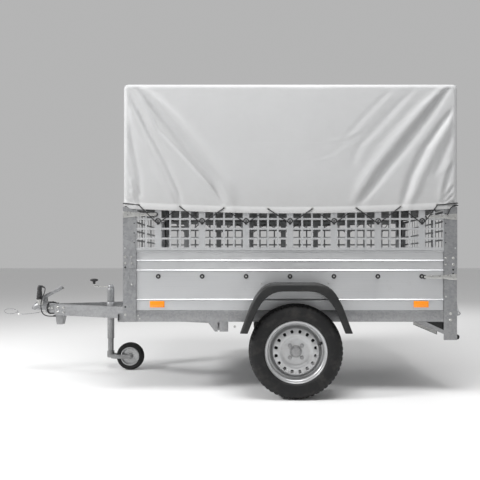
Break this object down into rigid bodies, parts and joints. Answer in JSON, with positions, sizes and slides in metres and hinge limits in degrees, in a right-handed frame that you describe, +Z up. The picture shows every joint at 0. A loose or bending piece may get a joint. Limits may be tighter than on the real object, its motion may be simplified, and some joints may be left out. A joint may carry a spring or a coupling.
{
  "type": "small box trailer with mesh side extensions and a high tarpaulin cover",
  "caption": "Single-axle box trailer with steel boards, punched-sheet extensions, a tall grey cover, opening tailgate and mesh gates, V drawbar and jockey wheel.",
  "frame": {"origin": "on the ground, in the middle of the trailer's length over coupling and box and of its width over the mudguards", "axes": "+X to the rear, -Y to the left side, +Z up"},
  "size_m": [3.019, 1.498, 1.876],
  "materials": {
    "galvanised_steel": "hot-dip galvanised, dull spangle",
    "zinc_sheet": "bright zinc-coated sheet",
    "black_plastic": "moulded black plastic, fine grain",
    "tyre_rubber": "matt black rubber",
    "silver_wheel": "silver wheel paint",
    "grey_cover": "light grey coated tarpaulin, satin",
    "lamp_red": "ribbed lamp lens",
    "white_plate": "blank white plate",
    "cable_black": "black cable sheath and plug",
    "wire_steel": "stranded steel wire rope"
  },
  "bodies": {
    "chassis": {"side_rail_left": "galvanised_steel", "side_rail_right": "galvanised_steel", "front_crossmember": "galvanised_steel", "middle_crossmember": "galvanised_steel", "rear_crossmember": "galvanised_steel", "drawbar_beam_left": "galvanised_steel", "drawbar_beam_right": "galvanised_steel", "coupling_head": "galvanised_steel", "coupling_lever": "galvanised_steel", "plug_holder": "galvanised_steel", "drawbar_foot": "galvanised_steel", "jockey_clamp": "galvanised_steel", "jockey_outer_tube": "galvanised_steel", "jockey_crank": "galvanised_steel", "axle_beam": "galvanised_steel", "swing_arm_left": "galvanised_steel", "swing_arm_right": "galvanised_steel", "mudguard_left": "black_plastic", "mudguard_right": "black_plastic", "floor_panel": "zinc_sheet", "side_board_left": "zinc_sheet", "side_board_right": "zinc_sheet", "front_board": "zinc_sheet", "corner_post_front_left": "galvanised_steel", "corner_post_front_right": "galvanised_steel", "corner_post_rear_left": "galvanised_steel", "corner_post_rear_right": "galvanised_steel", "mesh_side_left": "zinc_sheet", "mesh_side_right": "zinc_sheet", "tarp_cover": "grey_cover", "tarp_frame": "galvanised_steel", "rear_light_bar": "black_plastic", "rear_lamp_left": "lamp_red", "rear_lamp_right": "lamp_red", "number_plate": "white_plate", "plug": "cable_black", "lead": "cable_black", "safety_wire": "wire_steel", "safety_wire_loop": "wire_steel"},
    "wheel_left": {"tyre_left": "tyre_rubber", "rim_left": "silver_wheel"},
    "wheel_right": {"tyre_right": "tyre_rubber", "rim_right": "silver_wheel"},
    "tailgate": {"tailgate": "zinc_sheet"},
    "mesh_gate_front": {"mesh_gate_front": "zinc_sheet"},
    "mesh_gate_rear": {"mesh_gate_rear": "zinc_sheet"},
    "jockey_leg": {"jockey_inner_tube": "galvanised_steel"},
    "jockey_fork": {"jockey_fork": "galvanised_steel"},
    "jockey_wheel": {"jockey_tyre": "tyre_rubber", "jockey_rim": "silver_wheel"}
  },
  "joints": [
    {"name": "wheel_left_spin", "type": "hinge", "parent": "chassis", "child": "wheel_left", "pos_m": [0.416, -0.65, 0.2735], "axis": [0, 1, 0], "continuous": true},
    {"name": "wheel_right_spin", "type": "hinge", "parent": "chassis", "child": "wheel_right", "pos_m": [0.416, 0.65, 0.2735], "axis": [0, 1, 0], "continuous": true},
    {"name": "tailgate_hinge", "type": "hinge", "parent": "chassis", "child": "tailgate", "pos_m": [1.404, 0, 0.479], "axis": [0, 1, 0], "range_deg": [0, 175]},
    {"name": "mesh_gate_front_hinge", "type": "hinge", "parent": "chassis", "child": "mesh_gate_front", "pos_m": [-0.604, 0, 0.872], "axis": [0, -1, 0], "range_deg": [0, 90]},
    {"name": "mesh_gate_rear_hinge", "type": "hinge", "parent": "chassis", "child": "mesh_gate_rear", "pos_m": [1.382, 0, 0.872], "axis": [0, 1, 0], "range_deg": [0, 90]},
    {"name": "jockey_lift", "type": "slide", "parent": "chassis", "child": "jockey_leg", "axis": [0, 0, 1], "range_m": [0, 0.085]},
    {"name": "jockey_swivel", "type": "hinge", "parent": "jockey_leg", "child": "jockey_fork", "pos_m": [-0.8921, 0.1132, 0.1], "axis": [0, 0, 1], "continuous": true},
    {"name": "jockey_wheel_spin", "type": "hinge", "parent": "jockey_fork", "child": "jockey_wheel", "pos_m": [-0.7481, 0.1132, 0.1], "axis": [0, 1, 0], "continuous": true}
  ]
}
